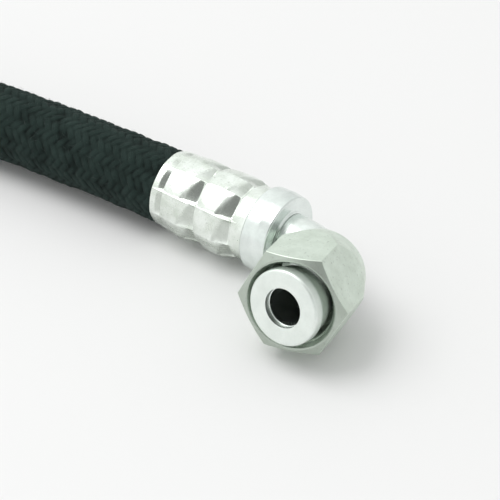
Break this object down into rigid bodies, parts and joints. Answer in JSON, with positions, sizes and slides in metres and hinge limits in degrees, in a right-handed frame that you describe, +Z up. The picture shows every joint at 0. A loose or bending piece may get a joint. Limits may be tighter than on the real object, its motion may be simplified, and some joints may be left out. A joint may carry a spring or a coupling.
{
  "type": "hydraulic hose assembly",
  "caption": "Flexible braided hydraulic hose with a right-angle bent-tube swivel fitting on one end and a straight swivel fitting on the other, for joining pressure ports.",
  "frame": {"origin": "centre of the seal face of end A, the bent-tube end, on the axis of its port", "axes": "+X along the hose's axis where it enters end A, pointing from the hose to the fitting; +Z up as the assembly lies; end A faces -Y and 10.5 degrees up"},
  "size_m": [0.4461, 0.2181, 0.0282],
  "materials": {
    "inner_rubber": "matte",
    "inner_textile": "matte, rubber-soaked",
    "braid_wire": "brassed wire",
    "black_textile": "matte, slightly fuzzy braid",
    "bright_zinc": "bright zinc plate",
    "satin_zinc": "satin zinc plate",
    "nut_zinc": "satin zinc plate, faintly speckled",
    "spring_wire": "drawn spring steel"
  },
  "bodies": {
    "hose_assembly": {"hose_inner_tube": "inner_rubber", "hose_inner_braid": "inner_textile", "hose_wire_braid": "braid_wire", "hose_outer_braid": "black_textile", "ferrule_a": "bright_zinc", "hose_stem_a": "bright_zinc", "elbow_tube": "bright_zinc", "seal_sleeve": "satin_zinc", "ferrule_b": "bright_zinc", "hose_stem_b": "bright_zinc"},
    "nut_a": {"swivel_nut_a": "nut_zinc"},
    "nut_b": {"swivel_nut_b": "nut_zinc", "nut_retaining_wire": "spring_wire"}
  },
  "joints": [
    {"name": "nut_a_travel", "type": "hinge", "parent": "hose_assembly", "child": "nut_a", "pos_m": [-0.06289, -0.00283, 0.00052], "axis": [0, 0.1822, 0.9833], "range_deg": [-13, 0]},
    {"name": "nut_b_spin", "type": "hinge", "parent": "hose_assembly", "child": "nut_b", "pos_m": [-0.4157, -0.15997, -0.00452], "axis": [-0.6428, -0.766, 0.0048], "continuous": true}
  ]
}
